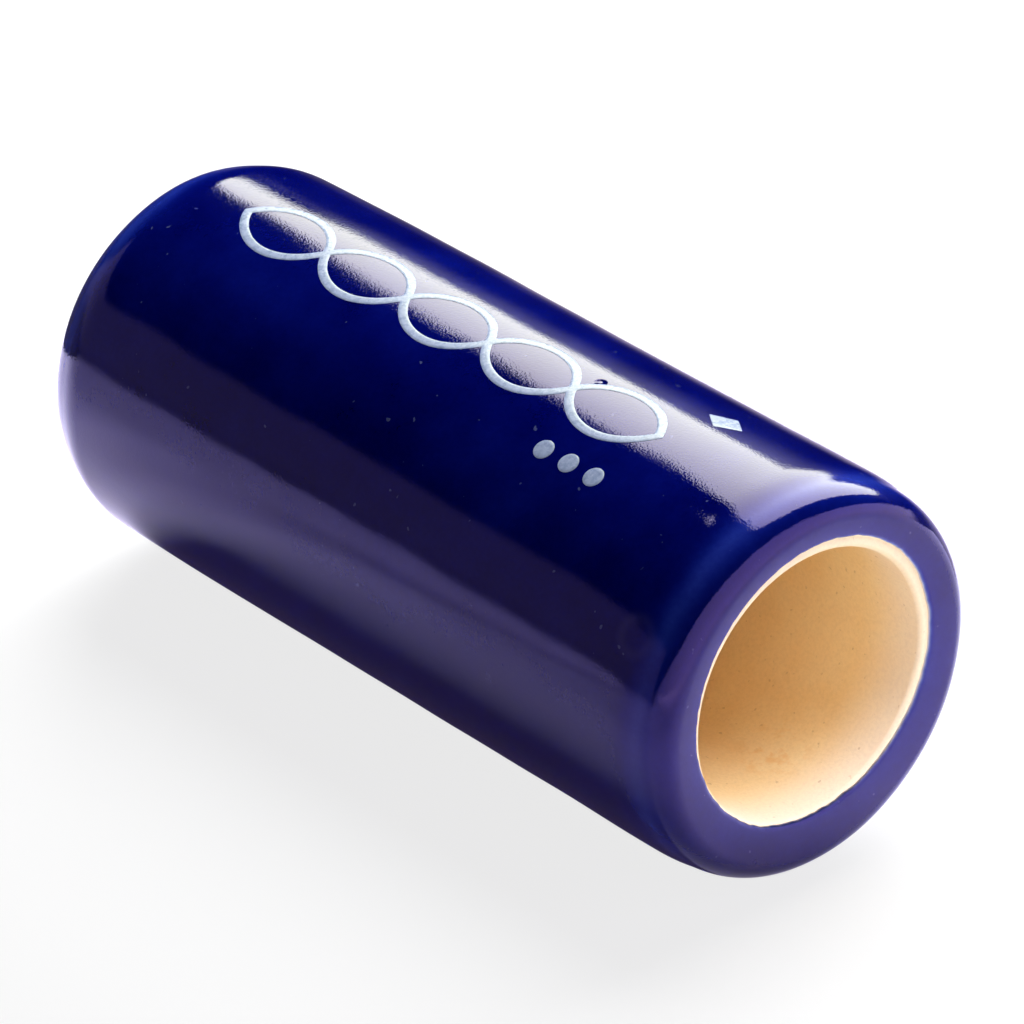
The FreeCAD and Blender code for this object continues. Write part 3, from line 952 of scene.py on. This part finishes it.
def dim_wall(world, x, y, z):
    """How bright the low wall on the camera's side and towards the tip is, by direction."""
    low = maths(world, "LESS_THAN", z, WALL_HEIGHT)
    front = maths(world, "LESS_THAN", y, 0.0)
    towards_tip = maths(world, "LESS_THAN", x, WALL_START)
    return maths(world, "MULTIPLY", both(world, low, both(world, front, towards_tip)), WALL_LEVEL)


def bounce_card(world, x, y, z):
    """How bright the card beyond the mouth is, by direction. The rim mirrors it."""
    tilted = maths(world, "SUBTRACT", x, maths(world, "MULTIPLY", z, CARD_LEAN))
    tilted = maths(world, "SUBTRACT", tilted, maths(world, "MULTIPLY", y, CARD_SKEW))
    beside = maths(world, "GREATER_THAN", tilted, CARD_START)
    sloped = maths(world, "SUBTRACT", maths(world, "MULTIPLY", x, CARD_SLOPE), z)
    below = maths(world, "GREATER_THAN", sloped, -CARD_LINE)
    gain_x, gain_y = maths(world, "MULTIPLY", x, CARD_GAIN[0]), maths(world, "MULTIPLY", y, CARD_GAIN[1])
    level = maths(world, "ADD", maths(world, "ADD", gain_x, gain_y), CARD_LEVEL)
    return maths(world, "MULTIPLY", maths(world, "MAXIMUM", beside, below), level)


def make_world():
    """Pale to the camera; to everything else a dark studio with a dim wall and a pale card."""
    world = bpy.data.worlds.new("studio")
    bpy.context.scene.world = world
    world.use_nodes = True
    nodes, links = world.node_tree.nodes, world.node_tree.links
    pale = nodes["Background"]
    pale.inputs["Color"].default_value = (1, 1, 1, 1)
    studio = nodes.new("ShaderNodeBackground")
    studio.inputs["Color"].default_value = (1.0, 0.85, 1.1, 1)
    direction = axes(world, nodes.new("ShaderNodeTexCoord").outputs["Generated"])
    path = nodes.new("ShaderNodeLightPath")
    share = maths(world, "MULTIPLY_ADD", path.outputs["Is Glossy Ray"], 0.7, 0.3)
    level = maths(world, "MAXIMUM", dim_wall(world, *direction), bounce_card(world, *direction))
    links.new(maths(world, "MULTIPLY", level, share), studio.inputs["Strength"])
    shown = blend_shaders(world, path.outputs["Is Camera Ray"], studio.outputs[0], pale.outputs[0])
    links.new(shown, nodes["World Output"].inputs["Surface"])


VIEW_AZIMUTH = radians(49.26)
VIEW_ELEVATION = radians(29.50)
VIEW_DISTANCE = 520 * MM
VIEW_TARGET = Vector((1.81, 0.23, 0.19)) * MM
SENSOR_WIDTH = 36.0
LENS = 254.7


def make_camera():
    """A long lens a little above the mouth's side of the slide."""
    level = cos(VIEW_ELEVATION)
    back = Vector((sin(VIEW_AZIMUTH) * level, -cos(VIEW_AZIMUTH) * level, sin(VIEW_ELEVATION)))
    data = bpy.data.cameras.new("camera")
    data.sensor_width = SENSOR_WIDTH
    data.lens = LENS
    data.clip_start = 0.01
    camera = bpy.data.objects.new("camera", data)
    camera.location = VIEW_TARGET + VIEW_DISTANCE * back
    camera.rotation_euler = back.to_track_quat("Z", "Y").to_euler()
    bpy.context.scene.collection.objects.link(camera)
    bpy.context.scene.camera = camera


def only_for(light, *receivers):
    """Lets a light shine on these objects alone."""
    lit = bpy.data.collections.new("lit_by_" + light.name)
    for receiver in receivers:
        lit.objects.link(receiver)
    light.light_linking.receiver_collection = lit


CLAY_LIGHT_DISTANCE = 0.9


def clay_light(name, direction, size, power, colour):
    """A round soft light that reaches into the bore and lights the clay alone."""
    data = bpy.data.lights.new(name, "AREA")
    data.shape = "DISK"
    data.size = size
    data.energy = power
    data.color = colour
    light = bpy.data.objects.new(name, data)
    towards = Vector(direction).normalized()
    light.location = CLAY_LIGHT_DISTANCE * towards
    light.rotation_euler = towards.to_track_quat("Z", "Y").to_euler()
    light.visible_camera = False
    bpy.context.scene.collection.objects.link(light)
    only_for(light, clay)


floor = make_floor()
for light in (*softbox(), spill()):
    only_for(light, glaze, wave, dots, diamond, floor)
clay_light("high_fill", (0.34, 0.42, 0.87), 0.65, 9.2, (1.0, 1.10, 1.45))
clay_light("mouth_fill", (0.50, -0.78, 0.38), 0.80, 2.6, (1.0, 1.04, 1.25))
clay_light("tip_fill", (-0.60, 0.50, 0.62), 0.60, 2.5, (1.0, 1.10, 1.60))
make_world()
make_camera()
bpy.context.scene.view_settings.view_transform = "Standard"
